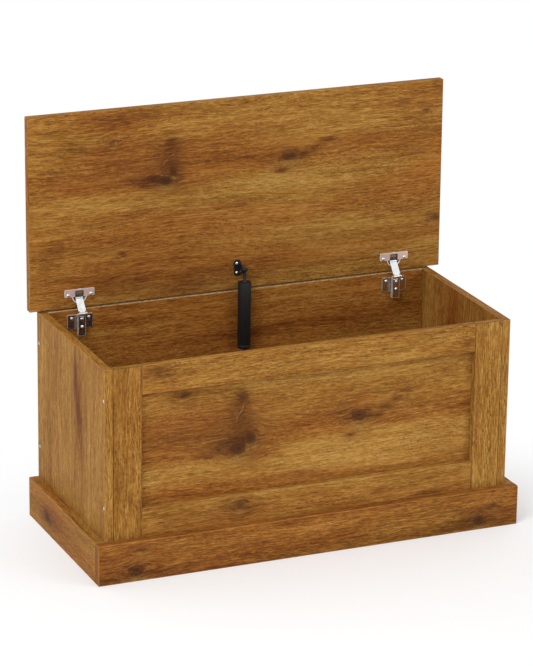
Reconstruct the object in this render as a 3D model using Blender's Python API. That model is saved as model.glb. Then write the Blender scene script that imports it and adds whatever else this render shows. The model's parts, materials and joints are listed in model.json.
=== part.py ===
"""A flip-top storage chest: a framed box on a plinth, with a lid on two sprung cup hinges and a lid stay.

Metres, +Z up, front towards -Y. The lid stands open, as it rests against its hinges' stop.
The origin is the centre of the open chest's footprint, on the floor.
"""

import math

import bmesh
import bpy
from mathutils import Matrix, Vector

# Box: overall sizes, boards and the framed front.
WIDTH = 0.800
DEPTH = 0.358
BODY_HEIGHT = 0.383
PANEL_BOARD = 0.015
FRAME_BOARD = 0.012
CENTRE_BOARD = 0.005
CENTRE_LAP = 0.015
CENTRE_BELOW_TOP = 0.020
STILE_WIDTH = 0.053
TOP_RAIL_HEIGHT = 0.052
BOTTOM_RAIL_HEIGHT = 0.1245
PLINTH_BOARD = 0.018
PLINTH_HEIGHT = 0.073
RUNNER_WIDTH = 0.018

# Finish of the joints and edges.
JOINT_GAP = 0.0003
BOARD_EDGE = 0.0006
STILE_EDGE = 0.0015
PLINTH_EDGE = 0.0020
OVERRUN = 0.002

# Lid: its board, how it sits when shut, and how far it opens.
LID_DEPTH = 0.353
LID_BOARD = 0.015
LID_EDGE = 0.0010
LID_SHUT_GAP = 0.002
LID_SET_IN = 0.002
LID_OPEN_ANGLE = math.radians(90.5)
PIVOT_FROM_REAR = 0.00675
PIVOT_ABOVE_BODY = 0.00825

# Connecting screws through the side panels.
SIDE_SCREW_ABOVE_PLINTH = 0.059
SIDE_SCREW_BELOW_TOP = 0.057
SIDE_SCREW_HEAD_RADIUS = 0.0042
SIDE_SCREW_HEAD_HEIGHT = 0.0028
SIDE_SCREW_RADIUS = 0.0025
SIDE_SCREW_LENGTH = 0.048
SIDE_SCREW_SOCKET_RADIUS = 0.0020
SIDE_SCREW_SOCKET_DEPTH = 0.0022

# Small wood screws of the hinges and the stay.
SCREW_HEAD_RADIUS = 0.0030
SCREW_HEAD_HEIGHT = 0.0016
SCREW_RADIUS = 0.0015
SCREW_LENGTH = 0.012
SCREW_SOCKET_RADIUS = 0.0011
SCREW_SOCKET_DEPTH = 0.0009
ARM_SCREW_LENGTH = 0.005

# Hinge cup, let into the lid.
HINGE_FROM_SIDE = 0.060
CUP_FROM_EDGE = 0.021
CUP_RADIUS = 0.013
CUP_DEPTH = 0.011
CUP_WALL = 0.001
CUP_RIM_RADIUS = 0.0138
CUP_RIM_THICK = 0.0008
CUP_BLOCK_WIDTH = 0.013
CUP_BLOCK_HEIGHT = 0.0072
CUP_BLOCK_SUNK = 0.0012
FLANGE_LENGTH = 0.056
FLANGE_WIDTH = 0.014
FLANGE_THICK = 0.001
FLANGE_LIFT = 0.0004
FLANGE_CORNER = 0.0015
FLANGE_FROM_EDGE = 0.0202
MOUTH_WIDTH = 0.016
MOUTH_HEIGHT = 0.0113
CUP_SCREW_SPACING = 0.0425
CUP_SCREW_FROM_EDGE = 0.0236

# Hinge link, from its pin in the arm to its rolled end in the cup.
LINK_WIDTH = 0.014
LINK_THICK = 0.0015
LINK_NECK_WIDTH = 0.0100
LINK_NECK_LENGTH = 0.0045
LINK_EYE_WIDTH = 0.0106
LINK_EYE_RADIUS = 0.0024
LINK_ROLL_WIDTH = 0.0136
LINK_ROLL_RADIUS = 0.0020
LINK_ROLL_FROM_EDGE = 0.017
LINK_ROLL_SUNK = 0.002
LINK_PIN_RADIUS = 0.0012
LINK_PIN_HEAD_RADIUS = 0.0020
LINK_PIN_HEAD = 0.0008
PIN_CLEARANCE = 0.00007

# Hinge arm and its mounting plate on the back panel.
ARM_WIDTH = 0.014
ARM_SHEET = 0.0013
ARM_FACE_STANDS = 0.0115
ARM_BACK_STANDS = 0.0036
ARM_FOOT_BELOW_TOP = 0.046
ARM_FACE_BELOW_TOP = 0.0105
ARM_BACK_BELOW_TOP = 0.008
ARM_EAR_STANDS = 0.016
ARM_EAR_BELOW_TOP = 0.003
ARM_EAR_RADIUS = 0.0028
ARM_SCREWS_BELOW_TOP = {"high": 0.0145, "low": 0.0290}
PLATE_LENGTH = 0.048
PLATE_HEIGHT = 0.027
PLATE_THICK = 0.0018
PLATE_CORNER = 0.003
PLATE_BELOW_TOP = 0.0082
RAIL_WIDTH = 0.0100
RAIL_MARGIN = 0.0015
PLATE_SCREW_SPACING = 0.032
PLATE_SCREW_BELOW_TOP = 0.015

# Lid stay: two eared brackets, a tube that hangs from the lid and a rod that stands in it.
STAY_FROM_CENTRE = 0.003
BRACKET_WIDTH = 0.010
BRACKET_HEIGHT = 0.030
BRACKET_THICK = 0.002
BRACKET_CORNER = 0.0048
BRACKET_SCREW_SPACING = 0.0175
EAR_THICK = 0.002
EAR_LAP = 0.0003
EAR_FOOT = 0.020
EAR_SIDE_GAP = 0.0006
STAY_EYE_RADIUS = 0.0042
STAY_EYE_WIDTH = 0.0060
STAY_PIN_RADIUS = 0.0020
STAY_PIN_HEAD_RADIUS = 0.0034
STAY_PIN_HEAD = 0.0012
STAY_FROM_EDGE = 0.0397
STAY_REACH = 0.0173
TUBE_RADIUS = 0.012
TUBE_BORE_RADIUS = 0.010
TUBE_LENGTH = 0.120
TUBE_CAP = 0.004
TUBE_EDGE = 0.0012
NECK_RADIUS = 0.0026
NECK_LENGTH = 0.0275
ROD_RADIUS = 0.003
ROD_LENGTH = 0.150
ROD_EDGE = 0.0006
ROD_SET_FORWARD = 0.0057
ROD_PIVOT_BELOW_TOP = 0.203

# Smoothness of the round pieces, and the shares that shape them.
ROUND_SIDES = 32
PIN_SIDES = 16
SCREW_SIDES = 12
CORNER_STEPS = 3
EYE_STEPS = 8
SHARP_ANGLE = math.radians(35)
EAR_TOP_ANGLE = 65
EAR_LOW_ANGLE = 245
EYE_HALF_ANGLE = 80
HEAD_TOP_SHARE = 0.7

# Colour, roughness and metallic value of each material.
HONEY_WOOD = ((0.36, 0.17, 0.06), 0.55, 0.0)
DARK_WOOD = ((0.22, 0.10, 0.04), 0.60, 0.0)
NICKEL = ((0.62, 0.60, 0.57), 0.30, 1.0)
BLACK_METAL = ((0.03, 0.03, 0.03), 0.35, 0.0)
BRIGHT_STEEL = ((0.75, 0.73, 0.70), 0.25, 1.0)

# Places worked out from the sizes above, before the origin is set.
BODY_HALF = WIDTH / 2 - PLINTH_BOARD
INSIDE_HALF = BODY_HALF - PANEL_BOARD
REAR = DEPTH / 2
FRONT = PLINTH_BOARD - DEPTH / 2
FRAME_BACK = FRONT + FRAME_BOARD
BACK_INNER = REAR - PANEL_BOARD
HINGE_X = INSIDE_HALF - HINGE_FROM_SIDE
PIVOT_Y = REAR - PIVOT_FROM_REAR
PIVOT_Z = BODY_HEIGHT + PIVOT_ABOVE_BODY
ROD_PIVOT_Z = BODY_HEIGHT - ROD_PIVOT_BELOW_TOP
LID_EDGE_Y = PIVOT_FROM_REAR - LID_SET_IN
LID_FACE_Z = LID_SHUT_GAP - PIVOT_ABOVE_BODY
LID_REACH = LID_DEPTH - LID_EDGE_Y
OPEN_SIN = math.sin(LID_OPEN_ANGLE)
OPEN_COS = math.cos(LID_OPEN_ANGLE)
OPEN_REAR = PIVOT_Y + (LID_FACE_Z + LID_BOARD) * OPEN_SIN - LID_REACH * OPEN_COS
ORIGIN_SHIFT = (DEPTH / 2 - OPEN_REAR) / 2


def clear_scene():
    for old in list(bpy.data.objects):
        bpy.data.objects.remove(old, do_unlink=True)


def material(name, finish):
    colour, roughness, metallic = finish
    made = bpy.data.materials.new(name)
    made.use_nodes = True
    shader = made.node_tree.nodes["Principled BSDF"]
    shader.inputs["Base Color"].default_value = (*colour, 1)
    shader.inputs["Roughness"].default_value = roughness
    shader.inputs["Metallic"].default_value = metallic
    return made


def place(made, parent, location, rotation):
    bpy.context.scene.collection.objects.link(made)
    made.parent = parent
    made.location = location
    made.rotation_euler = rotation
    return made


def frame(name, parent, location, turn=0):
    """An empty that carries other pieces. turn is about X."""
    return place(bpy.data.objects.new(name, None), parent, location, (turn, 0, 0))


def solid(name, make, finish, parent, location=(0, 0, 0), rotation=(0, 0, 0)):
    """One piece: make(shape) fills its mesh."""
    shape = bmesh.new()
    make(shape)
    bmesh.ops.recalc_face_normals(shape, faces=shape.faces)
    mesh = bpy.data.meshes.new(name)
    shape.to_mesh(mesh)
    shape.free()
    mesh.shade_smooth()
    mesh.set_sharp_from_angle(angle=SHARP_ANGLE)
    mesh.materials.append(material(name, finish))
    return place(bpy.data.objects.new(name, mesh), parent, location, rotation)


def tool(name, make, parent, location=(0, 0, 0), rotation=(0, 0, 0)):
    """A shape that is cut out of pieces or joined to them, and isn't one itself."""
    made = solid(name, make, NICKEL, parent, location, rotation)
    made.hide_render = True
    made.display_type = "WIRE"
    return made


def combine(target, other, operation):
    step = target.modifiers.new(other.name, "BOOLEAN")
    step.operation = operation
    step.solver = "EXACT"
    step.object = other


def add_box(shape, low, high):
    low, high = Vector(low), Vector(high)
    place_at = Matrix.Translation((low + high) / 2) @ Matrix.Diagonal((*(high - low), 1))
    bmesh.ops.create_cube(shape, size=1, matrix=place_at)


def add_turned(shape, profile, sides=PIN_SIDES, start=(0, 0, 0), along=(0, 0, 1)):
    """A closed body from (radius, distance) points turned about a line. The first and last lie on it."""
    turn = Vector(along).to_track_quat("Z", "Y").to_matrix().to_4x4()
    place_at = Matrix.Translation(start) @ turn
    rings = [add_ring(shape, radius, distance, sides, place_at) for radius, distance in profile]
    for ring, other in zip(rings, rings[1:]):
        for i in range(sides):
            pair = (i, (i + 1) % sides)
            corners = [ring[pair[0] % len(ring)], ring[pair[1] % len(ring)]]
            corners += [other[pair[1] % len(other)], other[pair[0] % len(other)]]
            shape.faces.new(list(dict.fromkeys(corners)))


def add_ring(shape, radius, distance, sides, place_at):
    if not radius:
        return [shape.verts.new(place_at @ Vector((0, 0, distance)))]
    angles = [math.tau * i / sides for i in range(sides)]
    points = [Vector((radius * math.cos(a), radius * math.sin(a), distance)) for a in angles]
    return [shape.verts.new(place_at @ point) for point in points]


def add_rod(shape, radius, start, end, sides=PIN_SIDES):
    """A plain round bar from start to end."""
    along = Vector(end) - Vector(start)
    add_turned(shape, [(0, 0), (radius, 0), (radius, along.length), (0, along.length)], sides, start, along)


def add_plate(shape, outline, axis, low, high):
    """A closed outline of two-number points, thick from low to high along an axis."""
    others = [i for i in range(3) if i != axis]
    ends = []
    for level in (low, high):
        points = [Vector() for _ in outline]
        for point, pair in zip(points, outline):
            point[others[0]], point[others[1]], point[axis] = *pair, level
        ends.append([shape.verts.new(point) for point in points])
    shape.faces.new(ends[0])
    shape.faces.new(ends[1][::-1])
    for i in range(len(outline)):
        shape.faces.new([ends[0][i - 1], ends[0][i], ends[1][i], ends[1][i - 1]])


def arc(centre, radius, start, end, steps):
    """Points along an arc, its angles in degrees."""
    angles = [math.radians(start + (end - start) * i / steps) for i in range(steps + 1)]
    return [(centre[0] + radius * math.cos(a), centre[1] + radius * math.sin(a)) for a in angles]


def rounded(low, high, radius):
    """A rectangle with round corners, from its top right corner anticlockwise."""
    left, bottom = low[0] + radius, low[1] + radius
    right, top = high[0] - radius, high[1] - radius
    points = arc((right, top), radius, 0, 90, CORNER_STEPS)
    points += arc((left, top), radius, 90, 180, CORNER_STEPS)
    points += arc((left, bottom), radius, 180, 270, CORNER_STEPS)
    return points + arc((right, bottom), radius, 270, 360, CORNER_STEPS)


def board(name, low, high, finish, parent, edge=BOARD_EDGE, worn=(), worn_edge=0):
    """A board with eased edges. worn names the rounder ones by the sides of the board they are on."""
    centre = (Vector(low) + Vector(high)) / 2
    half = (Vector(high) - Vector(low)) / 2

    def make(shape):
        add_box(shape, -half, half)
        rounder = [e for e in shape.edges if side_of(e, half) in worn]
        if rounder:
            ease(shape, rounder, worn_edge, 3)
        sharp = [e for e in shape.edges if e.calc_face_angle() > math.radians(60)]
        ease(shape, sharp, edge, 1)

    return solid(name, make, finish, parent, centre)


def ease(shape, edges, offset, segments):
    bmesh.ops.bevel(
        shape, geom=edges, offset=offset, segments=segments, profile=0.5, affect="EDGES", material=-1
    )


def side_of(edge, half):
    """The sides of a box that an edge is on, as -1, 0 or 1 for X, Y and Z."""
    middle = (edge.verts[0].co + edge.verts[1].co) / 2
    return tuple(round(middle[i] / half[i]) for i in range(3))


def screw(name, sizes, seat, out, finish, parent, targets, sunk=False):
    """A screw whose head sits on seat and points out, and its hole in each target."""
    head_radius, head_height, radius, length, socket_radius, socket_depth = sizes
    rotation = Vector(out).to_track_quat("Z", "Y").to_euler()
    profile = [
        (0, head_height - socket_depth),
        (socket_radius, head_height - socket_depth),
        (socket_radius, head_height),
        (head_radius * HEAD_TOP_SHARE, head_height),
        (head_radius, head_height / 2),
        (head_radius, 0),
        (radius, 0),
        (radius, radius * 2 - length),
        (0, -length),
    ]
    solid(name, lambda shape: add_turned(shape, profile, SCREW_SIDES), finish, parent, seat, rotation)
    wide = head_radius + JOINT_GAP if sunk else radius + JOINT_GAP
    top = head_height + OVERRUN
    hole = [(0, top), (wide, top)]
    if sunk:
        hole += [(wide, -JOINT_GAP)]
        hole += [(radius + JOINT_GAP, -JOINT_GAP)]
    hole += [(radius + JOINT_GAP, -length - JOINT_GAP), (0, -length - JOINT_GAP)]
    bore = tool(name + "_bore", lambda shape: add_turned(shape, hole, SCREW_SIDES), parent, seat, rotation)
    for target in targets:
        combine(target, bore, "DIFFERENCE")


def wood_screw(name, seat, finish, parent, targets, length=SCREW_LENGTH):
    sizes = (
        SCREW_HEAD_RADIUS,
        SCREW_HEAD_HEIGHT,
        SCREW_RADIUS,
        length,
        SCREW_SOCKET_RADIUS,
        SCREW_SOCKET_DEPTH,
    )
    screw(name, sizes, seat, (0, -1, 0), finish, parent, targets)


def cross_pin(name, radius, head_radius, head, left, right, centre, finish, parent):
    """A headed pin along X. left and right are where its heads' inner faces are."""
    profile = [
        (0, left - head),
        (head_radius, left - head),
        (head_radius, left),
        (radius, left),
        (radius, right),
        (head_radius, right),
        (head_radius, right + head),
        (0, right + head),
    ]
    solid(name, lambda shape: add_turned(shape, profile, PIN_SIDES, along=(1, 0, 0)), finish, parent, centre)


def pin_hole(target, radius, reach, location, parent):
    """A running hole along X, reach to either side."""
    wide = radius + PIN_CLEARANCE
    bore = tool(
        target.name + "_pin_bore",
        lambda shape: add_rod(shape, wide, (-reach, 0, 0), (reach, 0, 0)),
        parent,
        location,
    )
    combine(target, bore, "DIFFERENCE")


def side_panels(chest):
    panels = {}
    for side, sign in (("left", -1), ("right", 1)):
        across = sorted((sign * INSIDE_HALF, sign * BODY_HALF))
        low = (across[0], FRONT, 0)
        high = (across[1], REAR, BODY_HEIGHT)
        panels[side] = board("side_panel_" + side, low, high, HONEY_WOOD, chest)
    return panels


def back_and_bottom(chest):
    half = INSIDE_HALF - JOINT_GAP
    back = board("back_panel", (-half, BACK_INNER, 0), (half, REAR, BODY_HEIGHT), DARK_WOOD, chest)
    low = (-half, FRAME_BACK + JOINT_GAP, PLINTH_HEIGHT - PANEL_BOARD)
    high = (half, BACK_INNER - JOINT_GAP, PLINTH_HEIGHT)
    board("bottom_panel", low, high, DARK_WOOD, chest)
    low = (-RUNNER_WIDTH / 2, FRAME_BACK + JOINT_GAP, 0)
    high = (RUNNER_WIDTH / 2, BACK_INNER - JOINT_GAP, PLINTH_HEIGHT - PANEL_BOARD - JOINT_GAP)
    board("bottom_runner", low, high, DARK_WOOD, chest)
    return back


def front_frame(chest):
    stiles = {}
    outer = INSIDE_HALF - JOINT_GAP
    inner = INSIDE_HALF - STILE_WIDTH
    for side, sign in (("left", -1), ("right", 1)):
        across = sorted((sign * outer, sign * inner))
        low = (across[0], FRONT, 0)
        high = (across[1], FRAME_BACK, BODY_HEIGHT)
        worn = [(sign, -1, 0)]
        name = "front_stile_" + side
        stiles[side] = board(name, low, high, HONEY_WOOD, chest, worn=worn, worn_edge=STILE_EDGE)
    half = inner - JOINT_GAP
    top = BODY_HEIGHT - TOP_RAIL_HEIGHT
    board("front_top_rail", (-half, FRONT, top), (half, FRAME_BACK, BODY_HEIGHT), HONEY_WOOD, chest)
    board("front_bottom_rail", (-half, FRONT, 0), (half, FRAME_BACK, BOTTOM_RAIL_HEIGHT), HONEY_WOOD, chest)
    half = inner + CENTRE_LAP
    low = (-half, FRAME_BACK + JOINT_GAP, BOTTOM_RAIL_HEIGHT - CENTRE_LAP)
    high = (half, FRAME_BACK + JOINT_GAP + CENTRE_BOARD, BODY_HEIGHT - CENTRE_BELOW_TOP)
    board("front_centre_panel", low, high, HONEY_WOOD, chest)
    return stiles


def plinth(chest):
    low = (-WIDTH / 2, -DEPTH / 2, 0)
    high = (WIDTH / 2, FRONT - JOINT_GAP, PLINTH_HEIGHT)
    board("plinth_front", low, high, HONEY_WOOD, chest, worn=[(0, -1, 1)], worn_edge=PLINTH_EDGE)
    for side, sign in (("left", -1), ("right", 1)):
        across = sorted((sign * (BODY_HALF + JOINT_GAP), sign * WIDTH / 2))
        low = (across[0], FRONT, 0)
        high = (across[1], REAR, PLINTH_HEIGHT)
        worn = [(sign, 0, 1)]
        board("plinth_" + side, low, high, HONEY_WOOD, chest, worn=worn, worn_edge=PLINTH_EDGE)


def side_screws(chest, panels, stiles, back):
    """Sunk screws through each side panel into the stile's and the back panel's edges."""
    sizes = (
        SIDE_SCREW_HEAD_RADIUS,
        SIDE_SCREW_HEAD_HEIGHT,
        SIDE_SCREW_RADIUS,
        SIDE_SCREW_LENGTH,
        SIDE_SCREW_SOCKET_RADIUS,
        SIDE_SCREW_SOCKET_DEPTH,
    )
    seat_x = BODY_HALF - JOINT_GAP - SIDE_SCREW_HEAD_HEIGHT
    heights = {"low": PLINTH_HEIGHT + SIDE_SCREW_ABOVE_PLINTH, "high": BODY_HEIGHT - SIDE_SCREW_BELOW_TOP}
    for side, sign in (("left", -1), ("right", 1)):
        rows = (
            ("front", (FRONT + FRAME_BACK) / 2, stiles[side]),
            ("rear", (BACK_INNER + REAR) / 2, back),
        )
        for row, depth, inner in rows:
            for level, height in heights.items():
                name = f"side_screw_{side}_{row}_{level}"
                seat = (sign * seat_x, depth, height)
                targets = [panels[side], inner]
                screw(name, sizes, seat, (sign, 0, 0), BRIGHT_STEEL, chest, targets, sunk=True)


def hinge_cup(side, face, lid):
    """The cup, its flange with the link's mouth, and the spring block inside. face is the lid's inner side."""
    rim = -JOINT_GAP - CUP_RIM_THICK
    bore = CUP_RADIUS - CUP_WALL
    floor = CUP_DEPTH - CUP_WALL
    profile = [
        (0, CUP_DEPTH),
        (CUP_RADIUS, CUP_DEPTH),
        (CUP_RADIUS, -JOINT_GAP),
        (CUP_RIM_RADIUS, -JOINT_GAP),
        (CUP_RIM_RADIUS, rim),
        (bore, rim),
        (bore, floor),
        (0, floor),
    ]
    name = "hinge_cup_" + side
    start = (0, 0, CUP_FROM_EDGE)
    into = (0, 1, 0)
    cup = solid(name, lambda shape: add_turned(shape, profile, ROUND_SIDES, start, into), NICKEL, face)
    low = (-FLANGE_LENGTH / 2, FLANGE_FROM_EDGE)
    high = (FLANGE_LENGTH / 2, FLANGE_FROM_EDGE + FLANGE_WIDTH)
    outline = rounded(low, high, FLANGE_CORNER)
    corner = len(outline) * 3 // 4
    mouth_top = FLANGE_FROM_EDGE + MOUTH_HEIGHT
    mouth = [(-MOUTH_WIDTH / 2, low[1]), (-MOUTH_WIDTH / 2, mouth_top)]
    mouth += [(MOUTH_WIDTH / 2, mouth_top), (MOUTH_WIDTH / 2, low[1])]
    outline = outline[:corner] + mouth + outline[corner:]
    near, far = -FLANGE_LIFT - FLANGE_THICK, -FLANGE_LIFT
    flange = tool(name + "_flange", lambda shape: add_plate(shape, outline, 1, near, far), face)
    middle_wall = CUP_RADIUS - CUP_WALL / 2
    top = CUP_FROM_EDGE + math.sqrt(middle_wall**2 - (CUP_BLOCK_WIDTH / 2) ** 2)
    block_low = (-CUP_BLOCK_WIDTH / 2, CUP_BLOCK_SUNK, top - CUP_BLOCK_HEIGHT)
    block_high = (CUP_BLOCK_WIDTH / 2, floor + CUP_WALL / 2, top)
    block = tool(name + "_block", lambda shape: add_box(shape, block_low, block_high), face)
    combine(cup, flange, "UNION")
    combine(cup, block, "UNION")
    hole = [(0, -OVERRUN), (CUP_RADIUS + JOINT_GAP, -OVERRUN)]
    hole += [(CUP_RADIUS + JOINT_GAP, CUP_DEPTH + JOINT_GAP), (0, CUP_DEPTH + JOINT_GAP)]
    socket = tool(name + "_socket", lambda shape: add_turned(shape, hole, ROUND_SIDES, start, into), face)
    combine(lid, socket, "DIFFERENCE")
    for end, sign in ends_of(side):
        seat = (sign * CUP_SCREW_SPACING / 2, near - JOINT_GAP, CUP_SCREW_FROM_EDGE)
        wood_screw(f"hinge_cup_screw_{side}_{end}", seat, BRIGHT_STEEL, face, [cup, lid])


def ends_of(side):
    """The two ends of a hinge, by name and by direction along X."""
    outward = 1 if side == "right" else -1
    return (("outer", outward), ("inner", -outward))


def mounting_plate(side, wall, back):
    """The winged plate, and the rail in its middle that carries the arm. wall is the back panel's top edge."""
    low = (-PLATE_LENGTH / 2, -PLATE_BELOW_TOP - PLATE_HEIGHT)
    high = (PLATE_LENGTH / 2, -PLATE_BELOW_TOP)
    near, far = -JOINT_GAP - PLATE_THICK, -JOINT_GAP
    outline = rounded(low, high, PLATE_CORNER)
    name = "hinge_mounting_plate_" + side
    plate = solid(name, lambda shape: add_plate(shape, outline, 1, near, far), NICKEL, wall)
    rail_near = ARM_SHEET + JOINT_GAP - ARM_FACE_STANDS
    rail_low = (-RAIL_WIDTH / 2, rail_near, low[1] + RAIL_MARGIN)
    rail_high = (RAIL_WIDTH / 2, (near + far) / 2, high[1] - RAIL_MARGIN)
    rail = tool(name + "_rail", lambda shape: add_box(shape, rail_low, rail_high), wall)
    combine(plate, rail, "UNION")
    for end, sign in ends_of(side):
        seat = (sign * PLATE_SCREW_SPACING / 2, near - JOINT_GAP, -PLATE_SCREW_BELOW_TOP)
        wood_screw(f"hinge_plate_screw_{side}_{end}", seat, BRIGHT_STEEL, wall, [plate, back])
    return plate


def hinge_arm(side, wall, plate):
    """The channel over the rail, open behind, with two ears that hold the link's pin."""
    ear = (-ARM_EAR_STANDS, -ARM_EAR_BELOW_TOP)
    outline = [(-ARM_BACK_STANDS, -ARM_FOOT_BELOW_TOP), (-ARM_BACK_STANDS, -ARM_BACK_BELOW_TOP)]
    outline += arc(ear, ARM_EAR_RADIUS, EAR_TOP_ANGLE, EAR_LOW_ANGLE, EYE_STEPS)
    outline += [(-ARM_FACE_STANDS, -ARM_FACE_BELOW_TOP), (-ARM_FACE_STANDS, -ARM_FOOT_BELOW_TOP)]
    half = ARM_WIDTH / 2
    name = "hinge_arm_" + side
    arm = solid(name, lambda shape: add_plate(shape, outline, 0, -half, half), NICKEL, wall)
    inside = ARM_SHEET - ARM_FACE_STANDS
    below = -ARM_FOOT_BELOW_TOP - OVERRUN
    before = -ARM_EAR_STANDS - ARM_EAR_RADIUS - OVERRUN
    hollow = [(OVERRUN, below), (inside, below), (inside, -ARM_FACE_BELOW_TOP)]
    hollow += [(before, -ARM_FACE_BELOW_TOP), (before, OVERRUN), (OVERRUN, OVERRUN)]
    half_inside = half - ARM_SHEET
    channel = tool(name + "_hollow", lambda shape: add_plate(shape, hollow, 0, -half_inside, half_inside), wall)
    combine(arm, channel, "DIFFERENCE")
    pivot = (0, *ear)
    pin_hole(arm, LINK_PIN_RADIUS, half + OVERRUN, pivot, wall)
    head_at = half + JOINT_GAP
    sizes = (LINK_PIN_RADIUS, LINK_PIN_HEAD_RADIUS, LINK_PIN_HEAD)
    cross_pin("hinge_link_pin_" + side, *sizes, -head_at, head_at, pivot, NICKEL, wall)
    for level, below_top in ARM_SCREWS_BELOW_TOP.items():
        seat = (0, -ARM_FACE_STANDS - JOINT_GAP, -below_top)
        wood_screw(f"hinge_arm_screw_{side}_{level}", seat, BRIGHT_STEEL, wall, [arm, plate], ARM_SCREW_LENGTH)


def hinge_link(side, wall):
    """The link at rest: from its pin to the roll that reaches into the cup."""
    roll_y = PIVOT_Y + LID_FACE_Z * OPEN_SIN + LINK_ROLL_SUNK - BACK_INNER
    roll_z = PIVOT_Z - BODY_HEIGHT + LINK_ROLL_FROM_EDGE - LID_EDGE_Y
    rise = roll_z + ARM_EAR_BELOW_TOP
    run = roll_y + ARM_EAR_STANDS
    length = math.hypot(run, rise)
    pivot = (0, -ARM_EAR_STANDS, -ARM_EAR_BELOW_TOP)
    carrier = frame("hinge_link_pivot_" + side, wall, pivot, math.atan2(rise, run))
    neck, half = LINK_NECK_WIDTH / 2, LINK_WIDTH / 2
    outline = [(neck, 0), (neck, LINK_NECK_LENGTH), (half, LINK_NECK_LENGTH), (half, length)]
    outline += [(-x, y) for x, y in reversed(outline)]
    name = "hinge_link_" + side
    thick = LINK_THICK / 2
    link = solid(name, lambda shape: add_plate(shape, outline, 2, -thick, thick), BRIGHT_STEEL, carrier)
    eye = LINK_EYE_WIDTH / 2
    eye_tool = tool(
        name + "_eye", lambda shape: add_rod(shape, LINK_EYE_RADIUS, (-eye, 0, 0), (eye, 0, 0)), carrier
    )
    roll = LINK_ROLL_WIDTH / 2
    roll_tool = tool(
        name + "_roll",
        lambda shape: add_rod(shape, LINK_ROLL_RADIUS, (-roll, length, 0), (roll, length, 0)),
        carrier,
    )
    combine(link, eye_tool, "UNION")
    combine(link, roll_tool, "UNION")
    pin_hole(link, LINK_PIN_RADIUS, half, (0, 0, 0), carrier)


def stay_bracket(name, carrier, reach, target):
    """A plate with an ear bent out to the pin, two screws and the pin. The carrier is level with the pin."""
    right = STAY_FROM_CENTRE - STAY_EYE_WIDTH / 2 - EAR_SIDE_GAP
    plate_right = right - EAR_LAP
    plate_left = plate_right - BRACKET_WIDTH
    low, high = (plate_left, -BRACKET_HEIGHT / 2), (plate_right, BRACKET_HEIGHT / 2)
    near, far = -JOINT_GAP - BRACKET_THICK, -JOINT_GAP
    outline = rounded(low, high, BRACKET_CORNER)
    bracket = solid(
        name + "_bracket", lambda shape: add_plate(shape, outline, 1, near, far), BLACK_METAL, carrier
    )
    foot = (near + far) / 2
    ear_outline = [(foot, EAR_FOOT / 2)]
    ear_outline += arc((-reach, 0), STAY_EYE_RADIUS, 180 - EYE_HALF_ANGLE, 180 + EYE_HALF_ANGLE, EYE_STEPS)
    ear_outline += [(foot, -EAR_FOOT / 2)]
    left = right - EAR_THICK
    ear = tool(name + "_ear", lambda shape: add_plate(shape, ear_outline, 0, left, right), carrier)
    combine(bracket, ear, "UNION")
    pivot = (0, -reach, 0)
    pin_hole(bracket, STAY_PIN_RADIUS, BRACKET_WIDTH, pivot, carrier)
    pin_left = left - JOINT_GAP
    pin_right = STAY_FROM_CENTRE + STAY_EYE_WIDTH / 2 + JOINT_GAP
    sizes = (STAY_PIN_RADIUS, STAY_PIN_HEAD_RADIUS, STAY_PIN_HEAD)
    cross_pin(name + "_pin", *sizes, pin_left, pin_right, pivot, BLACK_METAL, carrier)
    middle = (plate_left + plate_right) / 2
    for level, sign in (("low", -1), ("high", 1)):
        seat = (middle, near - JOINT_GAP, sign * BRACKET_SCREW_SPACING / 2)
        wood_screw(f"{name}_screw_{level}", seat, BRIGHT_STEEL, carrier, [bracket, target])


def stay_arm(name, profile, sides, carrier):
    """A turned tube or rod with a flat eye on the pin. Its pin is the carrier's origin."""
    start = (STAY_FROM_CENTRE, 0, 0)
    arm = solid(name, lambda shape: add_turned(shape, profile, sides, start), BLACK_METAL, carrier)
    left = STAY_FROM_CENTRE - STAY_EYE_WIDTH / 2
    right = STAY_FROM_CENTRE + STAY_EYE_WIDTH / 2
    eye = tool(
        name + "_eye", lambda shape: add_rod(shape, STAY_EYE_RADIUS, (left, 0, 0), (right, 0, 0)), carrier
    )
    combine(arm, eye, "UNION")
    pin_hole(arm, STAY_PIN_RADIUS, STAY_EYE_WIDTH * 2, (0, 0, 0), carrier)


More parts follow.
